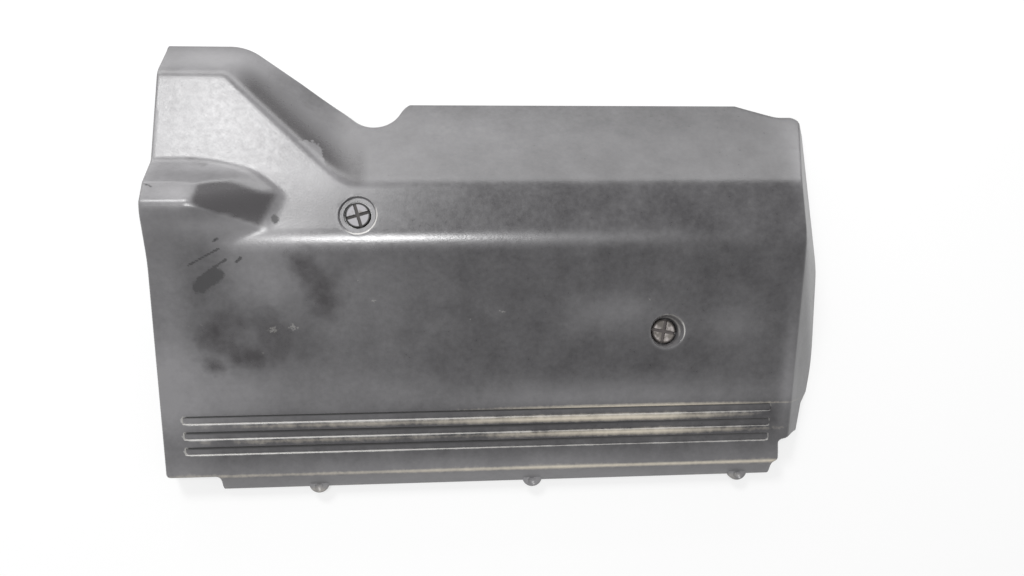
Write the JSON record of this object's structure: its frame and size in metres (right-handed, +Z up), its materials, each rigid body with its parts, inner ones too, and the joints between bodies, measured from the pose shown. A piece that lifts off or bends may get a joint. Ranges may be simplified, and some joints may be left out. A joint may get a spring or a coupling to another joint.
{
  "type": "engine cover",
  "caption": "Moulded black engine cover with a ridged roof, a rear lobe, a grooved front face and captive cross-slot quarter-turn studs.",
  "frame": {"origin": "middle of the footprint on the plane the cover rests on", "axes": "+X to the right along the grooves, +Y from the grooved front edge to the rear rim and lobe, +Z up through the outside face"},
  "size_m": [0.49, 0.33, 0.078],
  "materials": {
    "moulded_plastic": "worn semi-gloss black, dusty",
    "zinc_plated_steel": "dull zinc plating"
  },
  "bodies": {
    "cover": {"cover_shell": "moulded_plastic"},
    "left_fastener": {"left_quarter_turn_stud": "zinc_plated_steel", "left_retaining_washer": "zinc_plated_steel", "left_cross_pin": "zinc_plated_steel"},
    "right_fastener": {"right_quarter_turn_stud": "zinc_plated_steel", "right_retaining_washer": "zinc_plated_steel", "right_cross_pin": "zinc_plated_steel"}
  },
  "joints": [
    {"name": "left_stud_turn", "type": "hinge", "parent": "cover", "child": "left_fastener", "pos_m": [-0.1025, 0.0343, 0.0538], "axis": [0, 0, 1], "continuous": true},
    {"name": "right_stud_turn", "type": "hinge", "parent": "cover", "child": "right_fastener", "pos_m": [0.1142, -0.0495, 0.0322], "axis": [0, 0, 1], "continuous": true}
  ]
}
